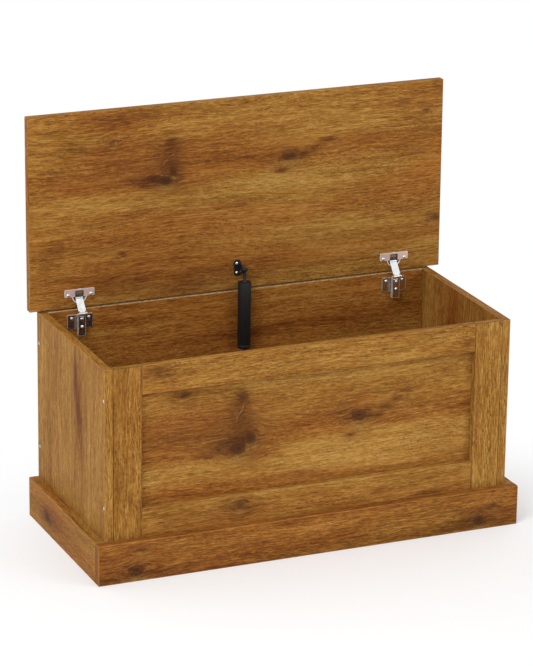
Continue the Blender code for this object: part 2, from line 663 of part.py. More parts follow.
def lid_stay(chest, face, lid, back):
    """The tube hangs upright from the open lid, round the rod that stands on the back panel."""
    upper = frame("stay_lid_mount", face, (0, 0, STAY_FROM_EDGE))
    stay_bracket("stay_lid", upper, STAY_REACH, lid)
    top = -NECK_LENGTH
    foot = top - TUBE_LENGTH
    profile = [
        (0, -STAY_PIN_RADIUS),
        (NECK_RADIUS, -STAY_PIN_RADIUS),
        (NECK_RADIUS, top),
        (TUBE_RADIUS - TUBE_EDGE, top),
        (TUBE_RADIUS, top - TUBE_EDGE),
        (TUBE_RADIUS, foot),
        (TUBE_BORE_RADIUS, foot),
        (TUBE_BORE_RADIUS, top - TUBE_CAP),
        (0, top - TUBE_CAP),
    ]
    upright = LID_OPEN_ANGLE - math.radians(90)
    hang = frame("stay_tube_pivot", face, (0, -STAY_REACH, STAY_FROM_EDGE), upright)
    stay_arm("stay_tube", profile, ROUND_SIDES, hang)
    stays_out = STAY_REACH - LID_FACE_Z
    above = STAY_FROM_EDGE - LID_EDGE_Y
    tube_y = PIVOT_Y - above * OPEN_COS - stays_out * OPEN_SIN
    reach = BACK_INNER - tube_y + ROD_SET_FORWARD
    base = frame("stay_base_mount", chest, (0, BACK_INNER, ROD_PIVOT_Z))
    stay_bracket("stay_base", base, reach, back)
    profile = [
        (0, STAY_PIN_RADIUS),
        (ROD_RADIUS, STAY_PIN_RADIUS),
        (ROD_RADIUS, ROD_LENGTH - ROD_EDGE),
        (ROD_RADIUS - ROD_EDGE, ROD_LENGTH),
        (0, ROD_LENGTH),
    ]
    stand = frame("stay_rod_pivot", chest, (0, BACK_INNER - reach, ROD_PIVOT_Z))
    stay_arm("stay_rod", profile, PIN_SIDES, stand)


def lid_board(face):
    half = WIDTH / 2
    return board("lid_panel", (-half, 0, 0), (half, LID_BOARD, LID_DEPTH), HONEY_WOOD, face, edge=LID_EDGE)


def build():
    clear_scene()
    chest = frame("chest", None, (0, ORIGIN_SHIFT, 0))
    panels = side_panels(chest)
    back = back_and_bottom(chest)
    stiles = front_frame(chest)
    plinth(chest)
    side_screws(chest, panels, stiles, back)
    lid_pivot = frame("lid_pivot", chest, (0, PIVOT_Y, PIVOT_Z), -LID_OPEN_ANGLE)
    face = frame("lid_face", lid_pivot, (0, LID_EDGE_Y, LID_FACE_Z), math.radians(90))
    lid = lid_board(face)
    for side, sign in (("left", -1), ("right", 1)):
        hinge_face = frame("hinge_face_" + side, face, (sign * HINGE_X, 0, 0))
        hinge_cup(side, hinge_face, lid)
        wall = frame("hinge_wall_" + side, chest, (sign * HINGE_X, BACK_INNER, BODY_HEIGHT))
        plate = mounting_plate(side, wall, back)
        hinge_arm(side, wall, plate)
        hinge_link(side, wall)
    lid_stay(chest, face, lid, back)


build()
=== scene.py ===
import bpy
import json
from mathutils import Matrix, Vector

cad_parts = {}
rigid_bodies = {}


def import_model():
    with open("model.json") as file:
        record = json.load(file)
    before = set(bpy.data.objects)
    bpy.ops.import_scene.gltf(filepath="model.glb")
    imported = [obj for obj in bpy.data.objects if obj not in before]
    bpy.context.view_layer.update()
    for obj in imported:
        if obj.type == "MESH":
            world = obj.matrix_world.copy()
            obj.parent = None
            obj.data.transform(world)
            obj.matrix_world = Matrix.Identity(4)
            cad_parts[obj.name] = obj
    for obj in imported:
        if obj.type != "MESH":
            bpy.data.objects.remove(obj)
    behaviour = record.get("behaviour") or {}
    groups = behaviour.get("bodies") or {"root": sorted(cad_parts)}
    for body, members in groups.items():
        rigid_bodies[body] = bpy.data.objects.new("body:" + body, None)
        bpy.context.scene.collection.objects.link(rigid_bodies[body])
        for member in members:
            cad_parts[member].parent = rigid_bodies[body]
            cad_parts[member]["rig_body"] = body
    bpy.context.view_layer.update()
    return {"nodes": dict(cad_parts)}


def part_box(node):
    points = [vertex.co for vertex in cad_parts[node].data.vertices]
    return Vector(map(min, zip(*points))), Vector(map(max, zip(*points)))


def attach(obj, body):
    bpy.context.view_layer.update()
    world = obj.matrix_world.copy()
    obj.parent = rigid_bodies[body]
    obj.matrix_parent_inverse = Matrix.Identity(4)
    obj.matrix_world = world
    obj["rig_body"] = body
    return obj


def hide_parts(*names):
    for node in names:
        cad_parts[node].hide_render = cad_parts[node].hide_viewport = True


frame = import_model()

import json
import math

import bmesh
import bpy
from mathutils import Matrix, Vector

nodes = frame["nodes"]


# Lid panel. One board faced with a printed, honey-stained pine foil whose grain runs along the
# chest's length, with a few dark knots. Its edges are banded in the same foil, and a narrow band
# along them is painted paler, as a little wear and as painted highlight.

X, Y, Z = 0, 1, 2
MIX_SHARE, MIX_FIRST, MIX_SECOND, MIX_RESULT = 0, 6, 7, 2
FACES_AWAY, FACES_ALONG = 0.68, 0.74


class Reading:
    """A number that changes over a surface. Sums of readings become the finish's Math nodes."""

    def __init__(self, finish, socket):
        self.finish = finish
        self.socket = socket

    def worked(self, operation, *values):
        return self.finish.node("ShaderNodeMath", {"operation": operation}, *values)

    def __add__(self, other):
        return self.worked("ADD", self, other)

    def __radd__(self, other):
        return self.worked("ADD", other, self)

    def __sub__(self, other):
        return self.worked("SUBTRACT", self, other)

    def __rsub__(self, other):
        return self.worked("SUBTRACT", other, self)

    def __mul__(self, other):
        return self.worked("MULTIPLY", self, other)

    def __rmul__(self, other):
        return self.worked("MULTIPLY", other, self)

    def __truediv__(self, other):
        return self.worked("DIVIDE", self, other)

    def __rtruediv__(self, other):
        return self.worked("DIVIDE", other, self)

    def power_of_e(self):
        return self.worked("EXPONENT", self)

    def root(self):
        return self.worked("SQRT", self)

    def wave(self):
        return self.worked("SINE", self)

    def size(self):
        return self.worked("ABSOLUTE", self)

    def least(self, other):
        return self.worked("MINIMUM", self, other)

    def most(self, other):
        return self.worked("MAXIMUM", self, other)

    def within(self, low, high):
        """0 below low, 1 above high, and a soft step between."""
        settings = {"interpolation_type": "SMOOTHSTEP"}
        return self.finish.node("ShaderNodeMapRange", settings, self, low, high)

    def clipped(self):
        return self.finish.node("ShaderNodeClamp", {}, self)


class Finish:
    """A material, its Principled shader, and the ways that this file adds nodes to it."""

    def __init__(self, name, metallic=0.0, roughness=0.5, specular=0.5):
        self.material = bpy.data.materials.new(name)
        self.material.use_nodes = True
        self.tree = self.material.node_tree
        self.shader = self.tree.nodes["Principled BSDF"]
        self.shader.inputs["Metallic"].default_value = metallic
        self.shader.inputs["Roughness"].default_value = roughness
        self.shader.inputs["Specular IOR Level"].default_value = specular
        self.place = self.node("ShaderNodeTexCoord", {}, output="Object")
        split = self.node("ShaderNodeSeparateXYZ", {}, self.place)
        self.axes = [Reading(self, part) for part in split.socket.node.outputs]

    def node(self, kind, settings, *values, output=0, placed=None, **named):
        """Adds a node. Its sockets are fed in order, by number in placed, or by name."""
        made = self.tree.nodes.new(kind)
        for key, value in settings.items():
            if key == "stops":
                self.set_stops(made.color_ramp, value)
            else:
                setattr(made, key, value)
        for key, value in [*enumerate(values), *(placed or {}).items(), *named.items()]:
            self.feed(made.inputs[key], value)
        return Reading(self, made.outputs[output])

    def set_stops(self, ramp, stops):
        while len(ramp.elements) < len(stops):
            ramp.elements.new(0.5)
        for element, (position, colour) in zip(ramp.elements, stops):
            element.position = position
            element.color = (*colour, 1)

    def feed(self, socket, value):
        if isinstance(value, Reading):
            self.tree.links.new(value.socket, socket)
        else:
            socket.default_value = value

    def facing(self, axis):
        """1 where the surface looks along an axis, to either side, and 0 elsewhere."""
        normal = self.node("ShaderNodeTexCoord", {}, output="Normal")
        share = self.node("ShaderNodeSeparateXYZ", {}, normal, output=axis)
        return share.size().within(FACES_AWAY, FACES_ALONG)

    def inside(self, box, axis):
        """How deep a point lies in a box, from the nearer of its two faces across an axis."""
        low, high = box[0][axis], box[1][axis]
        return (high - low) / 2 - (self.axes[axis] - (low + high) / 2).size()

    def at(self, x, y, z):
        return self.node("ShaderNodeCombineXYZ", {}, x, y, z)

    def noise(self, place, detail=2.0, roughness=0.5):
        values = {"Vector": place, "Scale": 1.0, "Detail": detail, "Roughness": roughness}
        return self.node("ShaderNodeTexNoise", {}, **values)

    def colours(self, reading, stops):
        return self.node("ShaderNodeValToRGB", {"stops": stops}, reading)

    def blend(self, share, first, second):
        placed = {MIX_SHARE: share, MIX_FIRST: filled(first), MIX_SECOND: filled(second)}
        settings = {"data_type": "RGBA"}
        return self.node("ShaderNodeMix", settings, placed=placed, output=MIX_RESULT)

    def show(self, colour, roughness=None, height=None, depth=0.0002, strength=0.4):
        self.feed(self.shader.inputs["Base Color"], colour)
        if roughness:
            self.feed(self.shader.inputs["Roughness"], roughness)
        if height:
            values = {"Strength": strength, "Distance": depth, "Height": height}
            bump = self.node("ShaderNodeBump", {}, **values)
            self.feed(self.shader.inputs["Normal"], bump)
        return self.material


def filled(colour):
    """A plain colour gets the fourth number that a colour socket holds."""
    return (*colour, 1) if isinstance(colour, tuple) else colour


HONEY = [
    (0.20, (0.110, 0.042, 0.008)),
    (0.36, (0.205, 0.082, 0.014)),
    (0.50, (0.300, 0.132, 0.024)),
    (0.64, (0.400, 0.212, 0.046)),
    (0.82, (0.500, 0.295, 0.085)),
]
RUSSET = [
    (0.20, (0.098, 0.028, 0.006)),
    (0.36, (0.188, 0.060, 0.011)),
    (0.50, (0.283, 0.103, 0.018)),
    (0.64, (0.376, 0.160, 0.032)),
    (0.82, (0.470, 0.235, 0.062)),
]
MAHOGANY = [
    (0.20, (0.092, 0.020, 0.005)),
    (0.36, (0.182, 0.046, 0.010)),
    (0.50, (0.274, 0.080, 0.016)),
    (0.64, (0.366, 0.128, 0.029)),
    (0.82, (0.460, 0.198, 0.056)),
]
UMBER = [
    (0.15, (0.060, 0.020, 0.006)),
    (0.38, (0.112, 0.040, 0.012)),
    (0.65, (0.215, 0.086, 0.025)),
]
KNOT_BROWN = (0.052, 0.020, 0.008)
HIGHLIGHT_GOLD = (0.420, 0.235, 0.060)
CRACK_TAN = (0.520, 0.330, 0.160)
BARE_LIT_CHIPS = [(0.25, (0.330, 0.190, 0.080)), (0.75, (0.560, 0.400, 0.210))]
PORE_BROWN = (0.085, 0.030, 0.009)
WEAR_AND_HIGHLIGHT_EDGE = (0.430, 0.240, 0.080)
JOINT_SHADE_BROWN = (0.060, 0.024, 0.009)

# How far the grain strays from straight, in metres, and what each layer of it adds to the tone.
WANDER, RIPPLE = 0.034, 0.0030
TONE_MIDDLE = 0.50
STREAK_TONE, BAND_TONE, RIDGE_TONE = 0.33, 0.25, 0.26
THREAD_TONE, FIBRE_TONE, HAIR_TONE = 0.34, 0.50, 0.55
HALO_TONE, STAIN_TONE, SHADE_TONE, TINT_TONE = 0.16, 0.17, 0.10, 0.09
WARM_MIDDLE, TINT_WARMTH = 0.02, 0.20
TO_RUSSET, TO_MAHOGANY = (0.38, 0.62), (0.70, 0.95)

# A knot's parts. Distances are in the knot's own half widths, and fades are powers of e.
GRAIN_BEND, GRAIN_BEND_FADE = 0.75, -0.16
KNOT_HEART, KNOT_RAGGED = 0.02, 0.9
CORE_INSIDE, CORE_OUTSIDE, CORE_DEPTH = 0.45, 1.35, 0.66
RINGS, RING_DEPTH = 10.0, 0.38
HALO_FADE, HALO_DEPTH = -0.17, 0.50
COLLAR_AT, COLLAR_NARROW, COLLAR_BROKEN, COLLAR_DEPTH = 1.5, 3.2, 3.0, 0.35
# Below each knot a pale gold is painted as a highlight.
HIGHLIGHT_BELOW, HIGHLIGHT_FADE_ALONG, HIGHLIGHT_FADE_ACROSS, HIGHLIGHT_DEPTH = 1.6, 0.7, 2.5, 0.5

CRACK_STRAYS_ALONG, CRACK_STRAYS_ACROSS = 0.006, 0.004
CRACK_WIDTH = (0.0002, 0.0013)
PORE_SHORT, PORE_CROWDED, PORE_DEPTH = (0.56, 0.76), (0.36, 0.60), 0.72
EDGE_WIDTH = (0.0003, 0.0020)


def gathered(u, v, spots):
    """The sum of soft spots, each (along, across, half length, half width, depth)."""
    total = None
    for near_u, near_v, long, wide, depth in spots:
        off_u = (u - near_u) / long
        off_v = (v - near_v) / wide
        spread = ((off_u * off_u + off_v * off_v) * -1.0).power_of_e() * depth
        total = spread if total is None else total + spread
    return total


def knot_parts(u, v, knot, ragged, broken):
    """What one knot adds: the grain's bend, its core, its halo, its collar and a painted golden
    highlight.
    """
    near_u, near_v, long, wide, depth = knot
    off_u = (u - near_u) / long
    off_v = (v - near_v) / wide
    away = off_u * off_u + off_v * off_v
    bend = (v - near_v) * GRAIN_BEND * (away * GRAIN_BEND_FADE).power_of_e()
    wheel = (away + KNOT_HEART).root() + ragged * KNOT_RAGGED + broken * KNOT_RAGGED
    core = 1 - wheel.within(CORE_INSIDE, CORE_OUTSIDE)
    rings = ((wheel * RINGS).wave() * 0.5 + 0.5) * RING_DEPTH
    core = core * (rings + CORE_DEPTH) * depth
    halo = (away * HALO_FADE).power_of_e() * (HALO_DEPTH * depth)
    ring = (wheel - COLLAR_AT) * COLLAR_NARROW
    collar = (ring * ring * -1.0).power_of_e() * (broken * COLLAR_BROKEN + COLLAR_DEPTH) * depth
    under = off_v + HIGHLIGHT_BELOW
    spread = off_u * off_u * HIGHLIGHT_FADE_ALONG + under * under * HIGHLIGHT_FADE_ACROSS
    highlight = (spread * -1.0).power_of_e() * (HIGHLIGHT_DEPTH * depth)
    return bend, core, halo, collar, highlight


def crack_line(u, v, crack, ragged, broken):
    """A short crack in the foil. It strays from its straight line and breaks off at places."""
    start_u, start_v, end_u, end_v, depth = crack
    run_u, run_v = end_u - start_u, end_v - start_v
    reach = (u - start_u) * run_u + (v - start_v) * run_v
    share = (reach / (run_u * run_u + run_v * run_v)).clipped()
    off_u = u - start_u - share * run_u + ragged * CRACK_STRAYS_ALONG
    off_v = v - start_v - share * run_v + broken * CRACK_STRAYS_ACROSS
    off = (off_u * off_u + off_v * off_v).root()
    return ((1 - off.within(*CRACK_WIDTH)) * (broken * 4 + 0.75) * depth).clipped()


def dress(node, material):
    """Gives a CAD node the finish of the real piece."""
    mesh = nodes[node].data
    for slot in range(len(mesh.materials)):
        mesh.materials[slot] = material


def box_of(node):
    low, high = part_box(node)
    return tuple(low), tuple(high)


def wood(
    node,
    name,
    along,
    across,
    knots=(),
    clouds=(),
    tints=(),
    shades=(),
    cracks=(),
    seed=0.0,
    light=0.0,
    red=0.0,
    edge_wear_and_light=0.35,
    gloss=0.05,
    bare_lit_top=False,
):
    """Dresses a board in printed pine. along and across are the grain's directions on it.

    knots are (along, across, half length, half width, depth). clouds are soft dark stains and
    tints are warmer zones in the same form, and a depth below 0 makes them paler or more golden.
    shades are zones that are only paler, or darker below 0. cracks are short pale lines from one
    (along, across) to another, with a depth. seed picks another stretch of the print.
    light and red shift the whole board. rubbed pales its edges, as wear and as painted highlight,
    and below 0 darkens them as painted shade in the joints. The narrow ends are banded, so there
    the grain turns and runs along the edge. bare_lit_top gives the board's top edge no band, so
    its pale chips show, as bare board and as painted light in the shaded gap under the lid.
    """
    finish = Finish(name, specular=gloss)
    through = X + Y + Z - along - across
    end = finish.facing(along)
    place_u, place_v, place_w = (finish.axes[axis] for axis in (along, across, through))
    u = place_u + (place_v - place_u) * end
    v = place_v + (place_w - place_v) * end
    w = place_w + (place_u - place_w) * end

    def drawn(line, long, fine, detail=2.0, roughness=0.5):
        """Noise drawn out along the grain, with long and fine waves a metre along and across."""
        place = finish.at(u * long + seed, line * fine, w * fine)
        return finish.noise(place, detail, roughness)

    wander = drawn(v, long=2.3, fine=5.0) - 0.5
    ripple = drawn(v, long=13.0, fine=30.0, detail=1.0) - 0.5
    ragged = drawn(v, long=60, fine=100, detail=3.0, roughness=0.6) - 0.5
    broken = drawn(v, long=150, fine=230) - 0.5
    line = v + wander * WANDER + ripple * RIPPLE
    streak = drawn(line, long=2.6, fine=24) - 0.5
    band = drawn(line, long=6.0, fine=85) - 0.5
    marks = [knot_parts(u, v, knot, ragged, broken) for knot in knots]
    bends, cores, halos, collars, highlights = zip(*marks) if marks else ((),) * 5
    for bend in bends:
        line = line - bend
    ridge = drawn(line, long=12, fine=260, detail=1.0) - 0.5
    thread = drawn(line, long=30, fine=480, detail=1.0) - 0.5
    fibre = drawn(line, long=105, fine=580, roughness=0.6) - 0.5
    hair = drawn(line, long=60, fine=780, detail=1.0) - 0.5
    stain = gathered(u, v, clouds)
    tint = gathered(u, v, tints)
    shade = gathered(u, v, shades)

    tone = streak * STREAK_TONE + band * BAND_TONE + ridge * RIDGE_TONE
    tone = tone + thread * THREAD_TONE + fibre * FIBRE_TONE + hair * HAIR_TONE
    tone = tone + (TONE_MIDDLE + light)
    patch = finish.noise(finish.at(u * 2.0 + seed + 7.0, line * 11, w * 11))
    warm = patch + (WARM_MIDDLE + red)
    for halo in halos:
        tone = tone - halo * HALO_TONE
    if shade:
        tone = tone + shade * SHADE_TONE
    if stain:
        tone = tone - stain * STAIN_TONE
    if tint:
        warm = warm + tint * TINT_WARMTH
        tone = tone - tint * TINT_TONE
    honey = finish.colours(tone, HONEY)
    russet = finish.colours(tone, RUSSET)
    mahogany = finish.colours(tone, MAHOGANY)
    umber = finish.colours(tone, UMBER)
    colour = finish.blend(warm.within(*TO_RUSSET), honey, russet)
    colour = finish.blend(warm.within(*TO_MAHOGANY), colour, mahogany)

    if stain:
        soaked = stain * (ridge * 1.2 + fibre * 1.8 + ragged * 1.2 + broken * 1.8 + 0.55)
        colour = finish.blend(soaked.clipped(), colour, umber)
    for halo in halos:
        colour = finish.blend((halo * (ridge * 1.5 + fibre * 1.5 + 0.9)).clipped(), colour, umber)
    # A painted highlight in pale gold below each knot.
    for highlight in highlights:
        colour = finish.blend((highlight * (fibre * 1.5 + 1)).clipped(), colour, HIGHLIGHT_GOLD)
    for collar in collars:
        colour = finish.blend(collar.clipped(), colour, umber)
    for core in cores:
        colour = finish.blend((core * (fibre * 1.2 + 1)).clipped(), colour, KNOT_BROWN)
    for crack in cracks:
        colour = finish.blend(crack_line(u, v, crack, ragged, broken), colour, CRACK_TAN)
    crowd = drawn(line, long=7, fine=40)
    dash = drawn(line, long=210, fine=1000, detail=0.0)
    pore = dash.within(*PORE_SHORT) * crowd.within(*PORE_CROWDED)
    colour = finish.blend(pore * PORE_DEPTH, colour, PORE_BROWN)

    # Of the depths below three pairs of faces, the middle one is the distance to the nearest edge.
    gaps = [finish.inside(box_of(node), axis) for axis in (X, Y, Z)]
    nearest = gaps[X].least(gaps[Y]).least(gaps[Z])
    farthest = gaps[X].most(gaps[Y]).most(gaps[Z])
    rim = gaps[X] + gaps[Y] + gaps[Z] - nearest - farthest
    # A band along every edge is painted paler, as wear and as painted highlight, or darker where
    # the setting is below 0, as painted shade in the joints.
    edge_band = (1 - rim.within(*EDGE_WIDTH)) * (0.75 + ragged)
    edge = WEAR_AND_HIGHLIGHT_EDGE if edge_wear_and_light > 0 else JOINT_SHADE_BROWN
    colour = finish.blend((edge_band * abs(edge_wear_and_light)).clipped(), colour, edge)
    # A top edge left bare is painted pale, as bare board and as painted light in the shaded gap
    # under the lid.
    if bare_lit_top:
        lit_chips = finish.colours(broken * 2 + fibre + 0.5, BARE_LIT_CHIPS)
        colour = finish.blend(finish.facing(Z), colour, lit_chips)
    rough = fibre * 0.18 + pore * 0.20 + 0.52
    height = fibre * 0.5 - pore * 1.0 + ridge * 0.3
    dress(node, finish.show(colour, rough, height))


LID_KNOTS = [
    (-0.141, 0.602, 0.014, 0.008, 1.0),
    (-0.128, 0.617, 0.007, 0.007, 0.75),
    (-0.242, 0.679, 0.006, 0.005, 0.60),
    (0.096, 0.624, 0.015, 0.008, 0.95),
    (0.366, 0.683, 0.007, 0.005, 0.65),
    (0.389, 0.480, 0.010, 0.007, 0.75),
    (-0.225, 0.474, 0.009, 0.005, 0.55),
]
LID_CRACKS = [
    (-0.1275, 0.650, -0.1477, 0.632, 0.38),
    (-0.1842, 0.636, -0.1595, 0.639, 0.24),
    (-0.1594, 0.615, -0.1330, 0.610, 0.30),
    (-0.0920, 0.608, -0.0417, 0.609, 0.22),
]
LID_CLOUDS = [
    (-0.165, 0.608, 0.016, 0.006, 0.80),
    (-0.182, 0.595, 0.014, 0.004, 0.80),
    (0.126, 0.625, 0.018, 0.005, 0.90),
    (0.146, 0.636, 0.016, 0.005, 0.85),
    (0.172, 0.648, 0.018, 0.004, 0.80),
    (0.081, 0.598, 0.010, 0.004, 1.00),
    (-0.131, 0.668, 0.012, 0.012, 0.80),
    (-0.133, 0.640, 0.022, 0.030, 0.62),
    (-0.172, 0.604, 0.050, 0.012, 0.65),
    (-0.225, 0.645, 0.120, 0.045, 0.32),
    (-0.228, 0.722, 0.075, 0.009, 0.55),
    (0.080, 0.601, 0.018, 0.005, 0.65),
    (-0.349, 0.497, 0.028, 0.008, 0.50),
    (-0.012, 0.547, 0.050, 0.008, 0.40),
    (0.333, 0.504, 0.040, 0.008, 0.35),
    (0.322, 0.707, 0.025, 0.007, 0.45),
    # The last three make the lid darker towards its lower edge.
    (-0.108, 0.402, 0.060, 0.010, 0.60),
    (-0.030, 0.415, 0.180, 0.028, 0.38),
    (-0.230, 0.420, 0.130, 0.025, 0.25),
]
PRINT_TINTS = [
    (0.000, 0.632, 0.100, 0.030, 0.80),
    (-0.300, 0.610, 0.080, 0.016, 0.50),
    (-0.220, 0.650, 0.120, 0.020, 0.40),
    (-0.050, 0.585, 0.070, 0.014, 0.45),
    (0.300, 0.640, 0.090, 0.022, 0.45),
    (-0.320, 0.568, 0.110, 0.016, -0.80),
    (-0.120, 0.572, 0.060, 0.012, -0.55),
    (0.070, 0.592, 0.130, 0.017, -1.00),
    (0.290, 0.585, 0.120, 0.017, -0.60),
    (0.120, 0.712, 0.180, 0.014, -0.80),
    (-0.330, 0.700, 0.090, 0.016, -0.45),
    (-0.170, 0.545, 0.160, 0.010, 0.35),
]
LID_TINTS = PRINT_TINTS + [
    (-0.100, 0.510, 0.200, 0.018, 0.45),
    (0.200, 0.528, 0.140, 0.012, 0.45),
    (0.150, 0.486, 0.190, 0.014, -0.60),
    (-0.280, 0.480, 0.110, 0.012, -0.35),
    (-0.250, 0.430, 0.160, 0.022, 0.45),
    (0.310, 0.440, 0.100, 0.025, 0.35),
    (-0.330, 0.690, 0.070, 0.030, -0.90),
    (-0.150, 0.690, 0.100, 0.020, -0.40),
    (0.330, 0.610, 0.060, 0.025, -0.70),
    (0.040, 0.560, 0.080, 0.014, 0.50),
    (0.050, 0.490, 0.130, 0.016, 0.60),
    (0.050, 0.440, 0.250, 0.026, 1.00),
    (0.060, 0.430, 0.240, 0.022, 0.90),
    (0.020, 0.474, 0.060, 0.012, 0.60),
]
LID_SHADES = [
    (0.100, 0.568, 0.160, 0.018, 1.20),
    (0.020, 0.508, 0.180, 0.026, 1.40),
    (0.190, 0.530, 0.090, 0.016, 0.50),
    (0.020, 0.470, 0.080, 0.014, 0.60),
    (0.050, 0.440, 0.250, 0.026, 1.10),
    (0.060, 0.430, 0.240, 0.022, 1.10),
    (0.020, 0.474, 0.060, 0.012, 0.90),
    (0.030, 0.560, 0.040, 0.010, 0.60),
    (0.350, 0.680, 0.040, 0.012, -0.60),
    (0.180, 0.660, 0.030, 0.010, -0.60),
    (-0.330, 0.690, 0.060, 0.028, -1.90),
    (-0.360, 0.635, 0.030, 0.014, -1.00),
    (-0.340, 0.560, 0.060, 0.014, -0.90),
    (-0.120, 0.580, 0.040, 0.014, -1.10),
    (0.330, 0.612, 0.060, 0.022, -1.50),
    (0.200, 0.710, 0.120, 0.016, -0.70),
    (-0.150, 0.712, 0.070, 0.014, 0.30),
    (-0.110, 0.462, 0.030, 0.010, -0.90),
    (-0.100, 0.536, 0.080, 0.010, 0.60),
    (0.120, 0.642, 0.020, 0.006, 0.80),
    (-0.370, 0.470, 0.025, 0.020, -1.10),
]
LID_MARKS = (LID_KNOTS, LID_CLOUDS, LID_TINTS, LID_SHADES, LID_CRACKS)
wood("lid_panel", "lid_pine", X, Z, *LID_MARKS, seed=3.1, red=-0.02)


# Front: two upright stiles and two rails of 12 mm board round a thin panel set 12 mm back. All are
# faced with the same pine foil, its grain upright on the stiles and level on the rails and panel.


def moved(spots, along, across):
    """The same spots on another board that was cut from the same print."""
    return [(spot[0] + along, spot[1] + across, *spot[2:]) for spot in spots]


CENTRE_KNOTS = [
    (-0.133, 0.206, 0.016, 0.012, 1.0),
    (-0.109, 0.224, 0.010, 0.012, 0.85),
    (-0.233, 0.315, 0.008, 0.005, 0.70),
    (0.097, 0.237, 0.016, 0.011, 1.0),
]
CENTRE_CRACKS = [
    (-0.1198, 0.288, -0.1353, 0.258, 0.40),
    (-0.0639, 0.214, -0.0262, 0.218, 0.30),
    (-0.1998, 0.224, -0.1500, 0.228, 0.28),
]
CENTRE_CLOUDS = [
    (0.080, 0.203, 0.012, 0.005, 1.05),
    (0.132, 0.235, 0.014, 0.006, 0.90),
    (0.150, 0.246, 0.014, 0.005, 0.80),
    (0.172, 0.260, 0.016, 0.005, 0.95),
    (0.190, 0.271, 0.012, 0.004, 0.80),
    (-0.125, 0.300, 0.013, 0.012, 1.05),
    (-0.127, 0.268, 0.022, 0.032, 0.72),
    (-0.140, 0.222, 0.030, 0.010, 0.55),
    (-0.165, 0.208, 0.040, 0.012, 0.60),
    (-0.190, 0.255, 0.110, 0.045, 0.52),
    (-0.233, 0.316, 0.035, 0.009, 0.45),
    (-0.020, 0.142, 0.060, 0.007, 0.55),
    (-0.193, 0.196, 0.018, 0.005, 0.45),
    (0.286, 0.150, 0.050, 0.010, 0.35),
]
CENTRE_TINTS = moved(PRINT_TINTS, 0.008, -0.396) + [
    (-0.190, 0.305, 0.060, 0.016, -0.50),
    (-0.020, 0.195, 0.050, 0.016, -1.10),
    (0.080, 0.165, 0.140, 0.016, -0.70),
    (0.106, 0.262, 0.026, 0.014, 0.90),
    (0.000, 0.195, 0.050, 0.016, -0.50),
]
CENTRE_SHADES = [
    (-0.185, 0.305, 0.055, 0.014, -1.40),
    (-0.085, 0.200, 0.050, 0.016, -0.90),
    (-0.020, 0.195, 0.050, 0.016, -0.60),
    (-0.110, 0.178, 0.040, 0.012, -0.80),
    (0.120, 0.170, 0.120, 0.012, 0.90),
    (0.110, 0.148, 0.220, 0.012, 1.50),
    (0.106, 0.260, 0.026, 0.012, 2.00),
    (0.300, 0.158, 0.045, 0.014, 0.80),
    (-0.310, 0.152, 0.030, 0.012, 0.80),
    (-0.010, 0.200, 0.060, 0.018, -0.60),
    (0.170, 0.220, 0.050, 0.012, -0.70),
    (0.104, 0.208, 0.022, 0.008, -0.60),
    (0.040, 0.330, 0.200, 0.010, 0.50),
    (0.318, 0.280, 0.020, 0.050, 0.80),
]
CENTRE_MARKS = (CENTRE_KNOTS, CENTRE_CLOUDS, CENTRE_TINTS, CENTRE_SHADES, CENTRE_CRACKS)
wood(
    "front_centre_panel", "centre_pine", X, Z, *CENTRE_MARKS, seed=5.7, red=-0.04, edge_wear_and_light=0.1
)
TOP_RAIL_CLOUDS = [(-0.284, 0.371, 0.028, 0.009, 0.85), (-0.240, 0.360, 0.060, 0.008, 0.30)]
TOP_RAIL_TINTS = [(0.020, 0.352, 0.280, 0.016, -0.90), (0.140, 0.377, 0.120, 0.006, 0.50)]
TOP_RAIL_SHADES = [(-0.290, 0.348, 0.050, 0.012, -0.80)]
TOP_RAIL_MARKS = ((), TOP_RAIL_CLOUDS, TOP_RAIL_TINTS, TOP_RAIL_SHADES)
wood("front_top_rail", "top_rail_pine", X, Z, *TOP_RAIL_MARKS, seed=8.3, light=-0.02, red=-0.08)
BOTTOM_RAIL_KNOTS = [(-0.131, 0.106, 0.009, 0.008, 0.60)]
BOTTOM_RAIL_CLOUDS = [
    (-0.135, 0.102, 0.040, 0.020, 0.50),
    (-0.170, 0.090, 0.110, 0.020, 0.25),
    (0.137, 0.095, 0.022, 0.006, 0.55),
    (0.222, 0.078, 0.030, 0.005, 0.80),
    (0.240, 0.110, 0.070, 0.008, 0.30),
]
BOTTOM_RAIL_TINTS = [(-0.230, 0.115, 0.070, 0.010, -0.60), (0.030, 0.095, 0.120, 0.022, 0.50)]
BOTTOM_RAIL_SHADES = [(-0.250, 0.108, 0.080, 0.020, -0.90), (0.080, 0.095, 0.200, 0.014, 0.50)]
wood(
    "front_bottom_rail",
    "bottom_rail_pine",
    X,
    Z,
    BOTTOM_RAIL_KNOTS,
    BOTTOM_RAIL_CLOUDS,
    BOTTOM_RAIL_TINTS,
    BOTTOM_RAIL_SHADES,
    seed=11.9,
    light=0.03,
    red=-0.01,
)
STILE_CLOUDS = {
    "left": [(0.140, -0.336, 0.018, 0.004, 0.60), (0.300, -0.346, 0.090, 0.006, 0.25)],
    "right": [(0.240, 0.322, 0.060, 0.004, 0.45), (0.120, 0.352, 0.060, 0.005, 0.35)],
}
STILE_TINTS = {"left": [], "right": [(0.310, 0.374, 0.110, 0.009, -0.80)]}
STILE_SHADES = {
    "left": [(0.100, -0.350, 0.040, 0.030, 0.60)],
    "right": [(0.310, 0.374, 0.110, 0.009, 0.60), (0.100, 0.345, 0.030, 0.030, 0.60)],
}
STILE_LIGHT = {"left": -0.01, "right": 0.02}
STILE_RED = {"left": -0.25, "right": -0.18}
